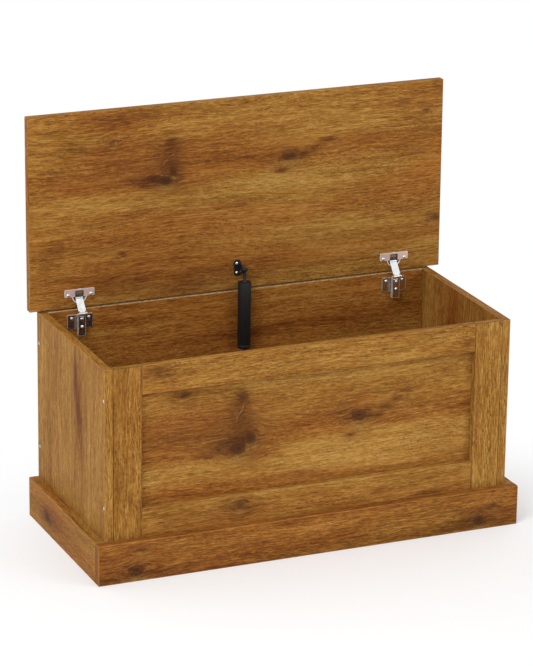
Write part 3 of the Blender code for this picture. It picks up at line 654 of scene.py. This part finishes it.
# The stiles' edges are painted darker, as painted shade in the grooves and joints round them.
for side, seed in (("left", 14.2), ("right", 17.6)):
    wood(
        "front_stile_" + side,
        f"stile_{side}_pine",
        Z,
        X,
        clouds=STILE_CLOUDS[side],
        tints=STILE_TINTS[side],
        shades=STILE_SHADES[side],
        seed=seed,
        light=STILE_LIGHT[side],
        red=STILE_RED[side],
        edge_wear_and_light=-0.75,
    )


# Sides, back and floor of the box: 15 mm boards, upright grain on the sides and level grain on the
# back and bottom. The batten under the bottom panel is the same board, cut down.

SIDE_CLOUDS = {
    "left": [
        (0.325, -0.020, 0.040, 0.010, 0.90),
        (0.275, -0.036, 0.040, 0.009, 0.90),
        (0.230, -0.048, 0.050, 0.007, 0.45),
        (0.345, 0.070, 0.030, 0.008, 0.40),
    ],
    "right": [(0.240, 0.050, 0.070, 0.010, 0.70), (0.330, -0.090, 0.040, 0.008, 0.50)],
}
SIDE_TINTS = {
    "left": [(0.290, -0.028, 0.080, 0.024, 0.65), (0.200, 0.060, 0.180, 0.022, -0.60)],
    "right": [(0.200, 0.030, 0.130, 0.026, 0.60), (0.200, -0.080, 0.180, 0.022, -0.60)],
}
for side, seed in (("left", 21.3), ("right", 24.8)):
    wood(
        "side_panel_" + side,
        f"side_{side}_pine",
        Z,
        Y,
        clouds=SIDE_CLOUDS[side],
        tints=SIDE_TINTS[side],
        seed=seed,
        light=0.01,
        red=-0.18,
    )
BACK_KNOTS = [(-0.210, 0.240, 0.013, 0.010, 0.85), (0.170, 0.130, 0.010, 0.008, 0.70)]
BACK_CLOUDS = [(-0.250, 0.242, 0.060, 0.014, 0.45), (0.050, 0.300, 0.090, 0.010, 0.35)]
BACK_TINTS = [(0.000, 0.200, 0.220, 0.020, -0.70), (0.100, 0.300, 0.200, 0.020, 0.50)]
# The back panel's top edge is painted pale, as bare board and as painted light in the shaded gap
# under the lid.
wood(
    "back_panel",
    "back_pine",
    X,
    Z,
    BACK_KNOTS,
    BACK_CLOUDS,
    BACK_TINTS,
    seed=28.4,
    edge_wear_and_light=0.1,
    gloss=0.0,
    bare_lit_top=True,
)
wood("bottom_panel", "bottom_pine", X, Y, seed=31.5)
wood("bottom_runner", "runner_pine", Y, Z, seed=33.1)


# Plinth: an 18 mm skirt round the front and sides, standing proud of the box, with its top edge
# rounded over. Its edges are painted paler, as wear and as painted highlight. Its grain is level,
# with a large knot near each end of the front.

PLINTH_KNOTS = [
    (-0.331, 0.021, 0.017, 0.011, 1.0),
    (-0.321, 0.057, 0.010, 0.004, 0.65),
    (0.322, 0.017, 0.012, 0.009, 1.0),
    (0.350, 0.042, 0.010, 0.005, 0.70),
]
PLINTH_CLOUDS = [
    (-0.325, 0.034, 0.060, 0.020, 0.12),
    (0.335, 0.030, 0.055, 0.022, 0.22),
    (0.385, 0.030, 0.020, 0.030, 0.20),
    (-0.053, 0.066, 0.030, 0.006, 0.50),
    (-0.250, 0.012, 0.070, 0.008, 0.35),
]
PLINTH_TINTS = [
    (-0.200, 0.046, 0.090, 0.010, -0.50),
    (0.060, 0.055, 0.140, 0.010, -0.40),
    (0.020, 0.025, 0.180, 0.012, 0.50),
    (-0.320, 0.030, 0.040, 0.020, 0.80),
    (0.340, 0.040, 0.050, 0.020, 0.40),
]
PLINTH_SHADES = [
    (0.000, 0.004, 0.500, 0.014, -0.80),
    (-0.320, 0.042, 0.045, 0.022, 2.30),
    (-0.380, 0.060, 0.020, 0.014, 1.00),
    (-0.390, 0.014, 0.025, 0.012, -1.40),
    (-0.270, 0.062, 0.090, 0.010, 0.80),
    (0.350, 0.050, 0.050, 0.018, 2.30),
    (0.130, 0.030, 0.060, 0.012, 0.60),
    (0.280, 0.014, 0.030, 0.010, -0.90),
]
wood(
    "plinth_front",
    "plinth_pine",
    X,
    Z,
    PLINTH_KNOTS,
    PLINTH_CLOUDS,
    PLINTH_TINTS,
    PLINTH_SHADES,
    seed=36.2,
    light=-0.09,
    red=-0.01,
    edge_wear_and_light=0.5,
)
PLINTH_SIDE_KNOTS = [(0.080, 0.030, 0.012, 0.009, 0.85)]
PLINTH_SIDE_CLOUDS = [(0.060, 0.034, 0.060, 0.016, 0.40)]
for side, seed in (("left", 39.7), ("right", 42.6)):
    wood(
        "plinth_" + side,
        f"plinth_{side}_pine",
        Y,
        Z,
        PLINTH_SIDE_KNOTS,
        PLINTH_SIDE_CLOUDS,
        seed=seed,
        light=-0.02,
        red=-0.14,
        edge_wear_and_light=0.5,
    )


# Assembly screws: eight steel screws through the sides into the frame and back, their flat heads
# sunk level with the board. Each head is turned, pale zinc, with a round driving socket.

RIM_HIGHLIGHT = (0.930, 0.870, 0.800)
GREASED_AND_SHADED = (0.130, 0.075, 0.055)
DULL_CLOUD = (0.40, 0.75)
RIM_WIDTH = (0.0002, 0.0012)
GREASE_AND_SHADE_DEPTH = (0.0001, 0.0009)


def plated(
    name,
    colour,
    roughness,
    metallic=1.0,
    cloudy=0.25,
    depth=0.00004,
    gloss=0.5,
    rim=None,
    sunk=None,
):
    """Plated or painted metal: a cloudy coat, fine drawing marks and a little orange peel.

    rim is the box of a sheet in X and Z: its outer millimetre is painted pale as a highlight. sunk
    is the Y of a board's face: what lies deeper is painted dull and dark, as grease and as painted
    shade in the hollow.
    """
    finish = Finish(name, metallic=metallic, specular=gloss)
    x, y, z = finish.axes
    cloud = finish.noise(finish.at(x * 160, y * 160, z * 160), detail=3.0)
    drawn = finish.noise(finish.at(x * 400, y * 2600, z * 2600), detail=2.0)
    peel = finish.noise(finish.at(x * 1900, y * 1900, z * 1900), detail=1.0)
    dull = tuple(channel * (1 - cloudy) for channel in colour)
    shade = finish.blend((cloud * 0.6 + drawn * 0.5).within(*DULL_CLOUD), colour, dull)
    rough = cloud * 0.16 + drawn * 0.08 + (roughness - 0.12)
    # The outer millimetre of the sheet is painted pale as a highlight, and made less metallic so
    # that it stays bright.
    if rim:
        nearest = finish.inside(rim, X).least(finish.inside(rim, Z))
        highlighted = ((1 - nearest.within(*RIM_WIDTH)) * (cloud * 0.8 + 0.35)).clipped()
        shade = finish.blend(highlighted, shade, RIM_HIGHLIGHT)
        finish.feed(finish.shader.inputs["Metallic"], (1 - highlighted * 0.5) * metallic)
    # What lies behind the board's face is painted dark, as grease and as painted shade in the
    # hollow.
    if sunk is not None:
        shade = finish.blend((y - sunk).within(*GREASE_AND_SHADE_DEPTH) * 0.75, shade, GREASED_AND_SHADED)
    return finish.show(shade, rough, drawn * 0.6 + peel * 0.8, depth=depth, strength=0.3)


ZINC = plated("pale_zinc", (0.80, 0.76, 0.66), 0.38, metallic=0.6)
for node in nodes:
    if node.startswith("side_screw_"):
        dress(node, ZINC)


# Hinges: a pressed cup let into the lid, a bright link, and a channelled arm on a winged plate.
# All are nickel-plated steel sheet with rolled edges, and bright pan-head screws hold them.


def stands_for(node, shape, name, material, sharp=None):
    """Makes a finished shape the piece that stands for a solid. Edges past sharp stay crisp."""
    data = bpy.data.meshes.new(name)
    shape.to_mesh(data)
    shape.free()
    data.materials.append(material)
    data.shade_smooth()
    if sharp:
        data.set_sharp_from_angle(angle=sharp)
    piece = bpy.data.objects.new(name, data)
    bpy.context.scene.collection.objects.link(piece)
    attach(piece, nodes[node]["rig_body"])
    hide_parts(node)
    return piece


def roll_edge(piece, width, angle):
    edge = piece.modifiers.new("rolled edge", "BEVEL")
    edge.width = width
    edge.segments = 2
    edge.limit_method = "ANGLE"
    edge.angle_limit = angle


def eased_copy(node, width, material):
    """Stands for a solid, with the sharp edges of its sheet rounded over."""
    shape = bmesh.new()
    shape.from_mesh(nodes[node].data)
    bmesh.ops.remove_doubles(shape, verts=shape.verts, dist=0.00001)
    bmesh.ops.dissolve_limit(
        shape, angle_limit=math.radians(2), verts=shape.verts, edges=shape.edges
    )
    piece = stands_for(node, shape, node + "_pressed", material)
    roll_edge(piece, width, math.radians(35))
    flats = piece.modifiers.new("flat faces stay flat", "WEIGHTED_NORMAL")
    flats.weight = 100
    flats.keep_sharp = True


def lathe(shape, outline, centre, axis, steps):
    """Turns an outline a full circle round an axis."""
    edges = [shape.edges.new(pair) for pair in zip(outline, outline[1:])]
    bmesh.ops.spin(
        shape,
        geom=outline + edges,
        cent=centre,
        axis=axis,
        angle=math.tau,
        steps=steps,
        use_merge=True,
    )


SCREW_STEEL = plated("bright_screw_steel", (0.90, 0.87, 0.84), 0.24, metallic=0.9)
HEAD_RADIUS, HEAD_RISE, SHANK_RADIUS = 0.0030, 0.0016, 0.0015
CROSS_HALF, CROSS_REACH, CROSS_DEPTH, CROSS_TAPER = 0.00036, 0.00165, 0.0010, 0.7


def pan_screw(node, twist, lean=0.0):
    """A pan-head wood screw along Y, its head towards the front.

    The cross is sunk below faces of the head that the extrusion leaves in place, so the head shows
    closed, and the hollow of the cross is hidden in it.
    """
    low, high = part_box(node)
    middle = (low + high) / 2
    length = high.y - low.y - HEAD_RISE
    side = [
        (0, HEAD_RISE),
        (0.0011, HEAD_RISE * 0.97),
        (0.0020, HEAD_RISE * 0.84),
        (0.0027, HEAD_RISE * 0.52),
        (HEAD_RADIUS, HEAD_RISE * 0.12),
        (HEAD_RADIUS, 0),
        (SHANK_RADIUS, 0),
        (SHANK_RADIUS, SHANK_RADIUS * 1.5 - length),
        (0, 0.0001 - length),
    ]
    shape = bmesh.new()
    outline = [shape.verts.new((radius, 0, height)) for radius, height in side]
    lathe(shape, outline, centre=(0, 0, 0), axis=(0, 0, 1), steps=24)
    bmesh.ops.remove_doubles(shape, verts=shape.verts, dist=0.000001)
    for way in ((1, 0, 0), (0, 1, 0)):
        for place in (-CROSS_REACH, -CROSS_HALF, CROSS_HALF, CROSS_REACH):
            everything = shape.verts[:] + shape.edges[:] + shape.faces[:]
            cut = Vector(way) * place
            bmesh.ops.bisect_plane(shape, geom=everything, plane_co=cut, plane_no=way)
    bmesh.ops.recalc_face_normals(shape, faces=shape.faces)
    cross = []
    for face in shape.faces:
        centre = face.calc_center_median()
        near, far = sorted((abs(centre.x), abs(centre.y)))
        on_head = face.normal.z > 0.3 and centre.z > HEAD_RISE * 0.3
        if on_head and near < CROSS_HALF and far < CROSS_REACH:
            cross.append(face)
    sunk = bmesh.ops.extrude_face_region(shape, geom=cross)
    corners = [part for part in sunk["geom"] if isinstance(part, bmesh.types.BMVert)]
    bmesh.ops.translate(shape, verts=corners, vec=(0, 0, -CROSS_DEPTH))
    bmesh.ops.scale(shape, verts=corners, vec=(CROSS_TAPER, CROSS_TAPER, 1))
    bmesh.ops.recalc_face_normals(shape, faces=shape.faces)
    for angle, axis in ((twist, "Z"), (math.radians(90) + lean, "X")):
        turn = Matrix.Rotation(angle, 3, axis)
        bmesh.ops.rotate(shape, verts=shape.verts, cent=(0, 0, 0), matrix=turn)
    seat = Vector((middle.x, low.y + HEAD_RISE, middle.z))
    seat.z += (length / 2 - HEAD_RISE / 2) * math.sin(lean)
    bmesh.ops.translate(shape, verts=shape.verts, vec=seat)
    crisp = math.radians(38)
    stands_for(node, shape, node + "_pan_head", SCREW_STEEL, crisp)


LID_LEAN = math.radians(0.5)
LID_FACE = box_of("lid_panel")[0][Y]
# The cup's colour is pale nickel tinted pink, as a painted reflection of pink cloth in the chest.
NICKEL_WITH_PINK_REFLECTION = (0.88, 0.66, 0.58)
ARM_GREY = (0.66, 0.62, 0.60)
FLANGE_FOOT, FLANGE_HEAD = 0.0146, 0.0006
CUP_EDGE, ARM_EDGE = 0.00035, 0.00045
LINK_STEEL = plated("bright_link_steel", (0.90, 0.90, 0.90), 0.22, metallic=0.85)
for side in ("left", "right"):
    cup = "hinge_cup_" + side
    low, high = box_of(cup)
    foot = (low[X], low[Y], high[Z] - FLANGE_FOOT)
    head = (high[X], high[Y], high[Z] - FLANGE_HEAD)
    satin = plated(
        f"satin_nickel_{side}", NICKEL_WITH_PINK_REFLECTION, 0.32, metallic=0.5, rim=(foot, head), sunk=LID_FACE
    )
    eased_copy(cup, CUP_EDGE, satin)
    eased_copy("hinge_link_" + side, CUP_EDGE, LINK_STEEL)
    for part in ("hinge_arm_", "hinge_mounting_plate_"):
        sheet = box_of(part + side)
        nickel = plated(f"bright_{part}{side}_nickel", ARM_GREY, 0.24, rim=sheet)
        eased_copy(part + side, ARM_EDGE, nickel)
    dress("hinge_link_pin_" + side, SCREW_STEEL)
    for count, end in enumerate(("outer", "inner")):
        pan_screw(f"hinge_cup_screw_{side}_{end}", twist=0.4 + count, lean=-LID_LEAN)
        pan_screw(f"hinge_plate_screw_{side}_{end}", twist=0.9 - count)
    for count, end in enumerate(("high", "low")):
        pan_screw(f"hinge_arm_screw_{side}_{end}", twist=0.2 + count * 0.5)


# Lid stay: a damper of black-painted tube with a rod that slides in it, hung on an eye from a
# bracket on the lid and pinned to one on the back panel. Bright pan-head screws hold the brackets.

BLACK_PAINT = plated(
    "black_stay_paint",
    (0.014, 0.013, 0.013),
    0.46,
    metallic=0.0,
    cloudy=0.3,
    depth=0.00006,
    gloss=0.28,
)
ROD_CHROME = plated("stay_rod_chrome", (0.78, 0.78, 0.77), 0.20)
BRACKET_EDGE = 0.00030
eased_copy("stay_base_bracket", BRACKET_EDGE, BLACK_PAINT)
STAY_EYE = (0.003, 0.146487, 0.426404)
EYE_RADIUS, EYE_HALF, EYE_EASE = 0.0042, 0.0030, 0.0006
NECK_RADIUS, NECK_END = 0.0026, STAY_EYE[Z] - 0.0034
TUBE_LOW, TUBE_TOP = 0.2789, 0.4032
TUBE_RADIUS, TUBE_BORE, GROOVE_RADIUS = 0.0120, 0.0100, 0.0117
# The tube's outline as radius and height, and its eye's as place along X and radius.
TUBE_SIDE = [
    (0, TUBE_TOP - 0.0040),
    (TUBE_BORE, TUBE_TOP - 0.0040),
    (TUBE_BORE, TUBE_LOW + 0.0006),
    (0.0106, TUBE_LOW),
    (0.0114, TUBE_LOW),
    (TUBE_RADIUS, TUBE_LOW + 0.0008),
    (TUBE_RADIUS, TUBE_LOW + 0.0060),
    (GROOVE_RADIUS, TUBE_LOW + 0.0065),
    (GROOVE_RADIUS, TUBE_LOW + 0.0077),
    (TUBE_RADIUS, TUBE_LOW + 0.0082),
    (TUBE_RADIUS, TUBE_TOP - 0.0008),
    (0.0118, TUBE_TOP - 0.0002),
    (0.0112, TUBE_TOP),
    (0.0106, TUBE_TOP - 0.0003),
    (0.0048, TUBE_TOP),
    (0.0034, TUBE_TOP + 0.0005),
    (NECK_RADIUS, TUBE_TOP + 0.0018),
    (NECK_RADIUS, NECK_END),
    (0, NECK_END),
]
EYE_SIDE = [
    (-EYE_HALF, 0),
    (-EYE_HALF, EYE_RADIUS - EYE_EASE),
    (EYE_EASE - EYE_HALF, EYE_RADIUS),
    (EYE_HALF - EYE_EASE, EYE_RADIUS),
    (EYE_HALF, EYE_RADIUS - EYE_EASE),
    (EYE_HALF, 0),
]
tube = bmesh.new()
eye = Vector(STAY_EYE)
outline = [tube.verts.new((eye.x + radius, eye.y, height)) for radius, height in TUBE_SIDE]
lathe(tube, outline, centre=eye, axis=(0, 0, 1), steps=64)
outline = [tube.verts.new(eye + Vector((reach, 0, radius))) for reach, radius in EYE_SIDE]
lathe(tube, outline, centre=eye, axis=(1, 0, 0), steps=40)
bmesh.ops.remove_doubles(tube, verts=tube.verts, dist=0.000001)
bmesh.ops.recalc_face_normals(tube, faces=tube.faces)
crisp = math.radians(50)
stands_for("stay_tube", tube, "stay_tube_turned", BLACK_PAINT, crisp)
LEFT, RIGHT, BEND = -0.0139, -0.0036, -0.0056
PLATE_HALF, PLATE_SHEET, PLATE_STANDS, PLATE_CORNER = 0.0150, 0.0020, 0.0170, 0.0046
EAR_SHOULDER, EAR_SHOULDER_HALF = 0.0055, 0.0105
EAR_TIP, EAR_TIP_HALF, EAR_CORNER = -0.0046, 0.0046, 0.0040
MILLIMETRE = 0.001
bracket = bmesh.new()
bmesh.ops.create_cube(bracket, size=1)
bmesh.ops.scale(bracket, verts=bracket.verts, vec=(RIGHT - LEFT, PLATE_SHEET, PLATE_HALF * 2))
middle = ((LEFT + RIGHT) / 2, PLATE_STANDS - PLATE_SHEET / 2, 0)
bmesh.ops.translate(bracket, verts=bracket.verts, vec=middle)
whole = bracket.verts[:] + bracket.edges[:] + bracket.faces[:]
bmesh.ops.bisect_plane(bracket, geom=whole, plane_co=(BEND, 0, 0), plane_no=(1, 0, 0))
corners = []
for edge in bracket.edges:
    first, last = edge.verts[0].co, edge.verts[1].co
    if abs(first.y - last.y) > MILLIMETRE and first.x < BEND - MILLIMETRE:
        corners.append(edge)
rounded = {"affect": "EDGES", "segments": 5, "profile": 0.5, "material": -1}
bmesh.ops.bevel(bracket, geom=corners, offset=PLATE_CORNER, **rounded)
ear = []
for face in bracket.faces:
    if face.normal.y < -0.9 and face.calc_center_median().x > BEND:
        ear.append(face)
# The ear grows in two steps, and the face that each step starts from stays inside it.
for depth, half in ((EAR_SHOULDER, EAR_SHOULDER_HALF), (EAR_TIP, EAR_TIP_HALF)):
    grown = bmesh.ops.extrude_face_region(bracket, geom=ear)["geom"]
    ear = [part for part in grown if isinstance(part, bmesh.types.BMFace)]
    for part in grown:
        if isinstance(part, bmesh.types.BMVert):
            part.co.y = depth
            part.co.z = math.copysign(half, part.co.z)
tip = []
for edge in ear[0].edges:
    if abs(edge.verts[0].co.x - edge.verts[1].co.x) > MILLIMETRE:
        tip.append(edge)
bmesh.ops.bevel(bracket, geom=tip, offset=EAR_CORNER, **rounded)
bmesh.ops.recalc_face_normals(bracket, faces=bracket.faces)
lean = Matrix.Rotation(-LID_LEAN, 3, "X")
bmesh.ops.rotate(bracket, verts=bracket.verts, cent=(0, 0, 0), matrix=lean)
bmesh.ops.translate(bracket, verts=bracket.verts, vec=STAY_EYE)
crisp = math.radians(40)
bent = stands_for(
    "stay_lid_bracket", bracket, "stay_lid_bracket_bent", BLACK_PAINT, crisp
)
roll_edge(bent, BRACKET_EDGE, crisp)
for node in ("stay_lid_pin", "stay_base_pin"):
    dress(node, BLACK_PAINT)
dress("stay_rod", ROD_CHROME)
for count, end in enumerate(("high", "low")):
    pan_screw("stay_lid_screw_" + end, twist=0.7 + count, lean=-LID_LEAN)
    pan_screw("stay_base_screw_" + end, twist=0.3 + count)


# Stage: a plain white floor that keeps the chest's shadow and fades to clear white round it, and
# soft light from all round, with one large lamp high on the left and a weaker one on the right.

WHITE, PAPER = (1, 1, 1, 1), (0.95, 0.95, 0.95, 1)
FLOOR_REACH, FLOOR_BELOW = 14, 0.0002
SHADOW_MIDDLE, SHADOW_FADE = (-0.05, -0.35, 0), (0.30, 0.90)
ROOM_LEVEL, SEEN_LEVEL = 0.62, 1.0
LAMP_AIM = Vector((0, 0, 0.3))


class Studio(Finish):
    """The light from all round. Its nodes are added in the same way as a finish's."""

    def __init__(self, name):
        self.world = bpy.data.worlds.new(name)
        self.world.use_nodes = True
        self.tree = self.world.node_tree
        self.shader = self.tree.nodes["Background"]


def in_view(finish):
    """1 where the camera sees a thing, also in gloss and through glass, and 0 where it lights."""
    rays = ("Is Camera Ray", "Is Glossy Ray", "Is Transmission Ray")
    seen, in_gloss, through = (finish.node("ShaderNodeLightPath", {}, output=ray) for ray in rays)
    return seen.most(in_gloss).most(through)


floor_shape = bmesh.new()
bmesh.ops.create_grid(floor_shape, x_segments=1, y_segments=1, size=FLOOR_REACH)
floor_data = bpy.data.meshes.new("floor")
floor_shape.to_mesh(floor_data)
floor_shape.free()
floor = bpy.data.objects.new("floor", floor_data)
floor.location.z = -FLOOR_BELOW
bpy.context.scene.collection.objects.link(floor)
paper = Finish("white_floor", roughness=0.9, specular=0.0)
distance = {"operation": "DISTANCE"}
reach = paper.node("ShaderNodeVectorMath", distance, paper.place, SHADOW_MIDDLE, output=1)
clear = in_view(paper) * (reach.within(*SHADOW_FADE) * 0.90 + 0.10)
glow = paper.node("ShaderNodeEmission", {}, WHITE)
matt = Reading(paper, paper.shader.outputs[0])
mixed = paper.node("ShaderNodeMixShader", {}, clear, matt, glow)
paper.feed(paper.tree.nodes["Material Output"].inputs["Surface"], mixed)
floor_data.materials.append(paper.show(PAPER))

studio = Studio("studio")
levels = {"To Min": ROOM_LEVEL, "To Max": SEEN_LEVEL}
level = studio.node("ShaderNodeMapRange", {}, in_view(studio), **levels)
studio.feed(studio.shader.inputs["Strength"], level)
studio.feed(studio.shader.inputs["Color"], WHITE)
bpy.context.scene.world = studio.world


def lamp(name, place, size, power):
    """A round lamp that shines on the chest."""
    data = bpy.data.lights.new(name, "AREA")
    data.shape = "DISK"
    data.size = size
    data.energy = power
    made = bpy.data.objects.new(name, data)
    bpy.context.scene.collection.objects.link(made)
    made.location = place
    made.rotation_euler = (LAMP_AIM - Vector(place)).to_track_quat("-Z", "Y").to_euler()


lamp("key", place=(-2.6, -2.0, 3.2), size=2.4, power=110)
lamp("fill", place=(2.6, -2.8, 1.8), size=2.2, power=32)


# Camera: a long lens, a little above the lid and to the left of the front. It is turned a little
# about its own axis, and its lens and place give the chest the size that it has in the photo.

FOCUS, DISTANCE = Vector((-0.0171, -0.0025, 0.3553)), 5.8275
TURN = math.radians(-23.374)
RISE = math.radians(18.511)
ROLL = math.radians(0.762)
SENSOR, PHOTO_HEIGHT, LENS_IN_PIXELS = 36, 666, 3305.32
NEAREST, FARTHEST = 0.1, 60
flat = math.cos(RISE)
ahead = Vector((-math.sin(TURN) * flat, math.cos(TURN) * flat, -math.sin(RISE)))
lens = bpy.data.cameras.new("camera")
lens.sensor_width = SENSOR
lens.lens = LENS_IN_PIXELS * SENSOR / PHOTO_HEIGHT
camera = bpy.data.objects.new("camera", lens)
bpy.context.scene.collection.objects.link(camera)
camera.rotation_mode = "QUATERNION"
level_turn = ahead.to_track_quat("-Z", "Y")
camera.rotation_quaternion = level_turn @ Matrix.Rotation(ROLL, 3, "Z").to_quaternion()
camera.location = FOCUS - ahead * DISTANCE
lens.clip_start = NEAREST
lens.clip_end = FARTHEST
bpy.context.scene.camera = camera
bpy.context.scene.view_settings.view_transform = "Standard"

bpy.context.view_layer.update()
